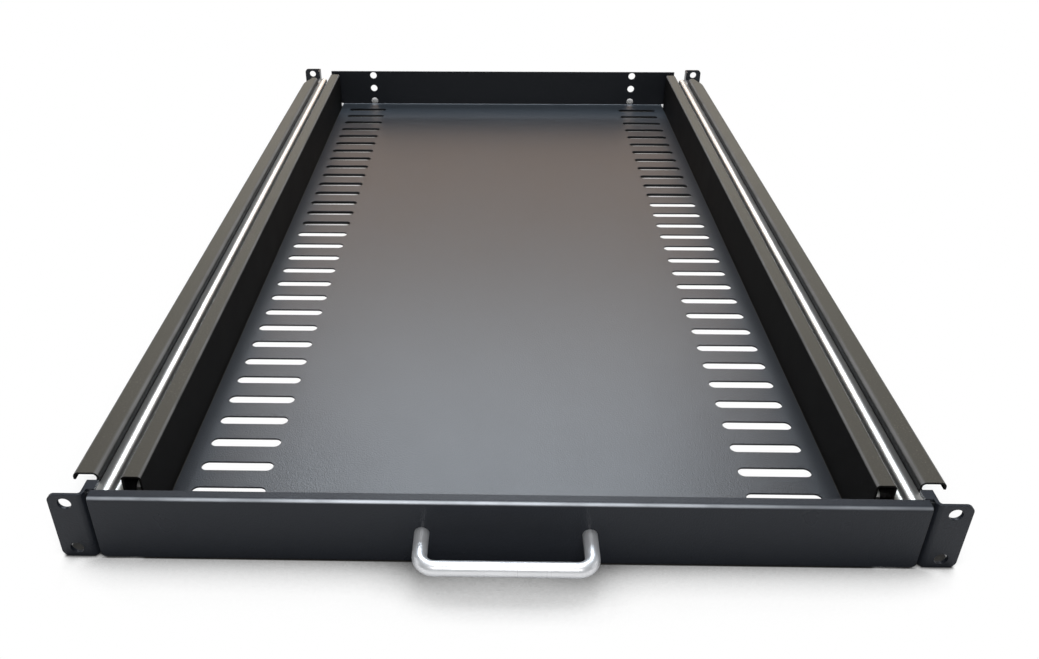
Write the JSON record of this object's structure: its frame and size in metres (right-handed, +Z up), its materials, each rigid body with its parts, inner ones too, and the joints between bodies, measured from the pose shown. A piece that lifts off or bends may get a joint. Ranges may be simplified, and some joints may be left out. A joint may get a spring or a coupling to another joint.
{
  "type": "sliding rack shelf",
  "caption": "Shallow slotted steel tray with a folded front panel and bow handle, sliding on telescopic ball slides between rails with rack ears at the front and rear.",
  "frame": {"origin": "centre of the four front ear holes, on the back face of the front ears where they meet the rack posts", "axes": "+X to the right seen from the front, +Y to the back of the rack, +Z up; the tray slides out towards -Y"},
  "size_m": [0.4826, 0.7825, 0.0436],
  "materials": {
    "black_coat": "satin",
    "zinc_steel": "bright zinc plate",
    "ball_steel": "polished",
    "handle_metal": "satin silver",
    "bumper_rubber": "matte"
  },
  "bodies": {
    "rack_frame": {"left_rail": "black_coat", "right_rail": "black_coat", "left_front_ear": "black_coat", "right_front_ear": "black_coat", "left_rear_ear": "black_coat", "right_rear_ear": "black_coat", "front_ear_studs": "zinc_steel", "front_ear_nuts": "zinc_steel", "rear_ear_studs": "zinc_steel", "rear_ear_nuts": "zinc_steel", "left_slide_outer": "zinc_steel", "right_slide_outer": "zinc_steel", "slide_outer_screws": "zinc_steel", "slide_outer_nuts": "zinc_steel", "left_bumper": "bumper_rubber", "right_bumper": "bumper_rubber"},
    "tray": {"tray_pan": "black_coat", "left_tray_channel": "black_coat", "right_tray_channel": "black_coat", "front_panel": "black_coat", "pull_handle": "handle_metal", "handle_screws": "zinc_steel", "handle_washers": "zinc_steel", "left_slide_inner": "zinc_steel", "right_slide_inner": "zinc_steel", "slide_inner_screws": "zinc_steel", "slide_inner_nuts": "zinc_steel"},
    "left_middle": {"left_slide_middle": "zinc_steel"},
    "left_outer_ball_row": {"left_outer_cage": "zinc_steel", "left_outer_balls": "ball_steel"},
    "left_inner_ball_row": {"left_inner_cage": "zinc_steel", "left_inner_balls": "ball_steel"},
    "right_middle": {"right_slide_middle": "zinc_steel"},
    "right_outer_ball_row": {"right_outer_cage": "zinc_steel", "right_outer_balls": "ball_steel"},
    "right_inner_ball_row": {"right_inner_cage": "zinc_steel", "right_inner_balls": "ball_steel"}
  },
  "joints": [
    {"name": "tray_slide", "type": "slide", "parent": "rack_frame", "child": "tray", "axis": [0, -1, 0], "range_m": [0, 0.7]},
    {"name": "left_middle_slide", "type": "slide", "parent": "rack_frame", "child": "left_middle", "axis": [0, -1, 0], "range_m": [0, 0.35]},
    {"name": "left_outer_ball_slide", "type": "slide", "parent": "rack_frame", "child": "left_outer_ball_row", "axis": [0, -1, 0], "range_m": [0, 0.175]},
    {"name": "left_inner_ball_slide", "type": "slide", "parent": "left_middle", "child": "left_inner_ball_row", "axis": [0, -1, 0], "range_m": [0, 0.175]},
    {"name": "right_middle_slide", "type": "slide", "parent": "rack_frame", "child": "right_middle", "axis": [0, -1, 0], "range_m": [0, 0.35]},
    {"name": "right_outer_ball_slide", "type": "slide", "parent": "rack_frame", "child": "right_outer_ball_row", "axis": [0, -1, 0], "range_m": [0, 0.175]},
    {"name": "right_inner_ball_slide", "type": "slide", "parent": "right_middle", "child": "right_inner_ball_row", "axis": [0, -1, 0], "range_m": [0, 0.175]}
  ],
  "couplings": [
    {"joint": "left_middle_slide", "follows": "tray_slide", "ratio": 0.5},
    {"joint": "left_outer_ball_slide", "follows": "tray_slide", "ratio": 0.25},
    {"joint": "left_inner_ball_slide", "follows": "tray_slide", "ratio": 0.25},
    {"joint": "right_middle_slide", "follows": "tray_slide", "ratio": 0.5},
    {"joint": "right_outer_ball_slide", "follows": "tray_slide", "ratio": 0.25},
    {"joint": "right_inner_ball_slide", "follows": "tray_slide", "ratio": 0.25}
  ]
}
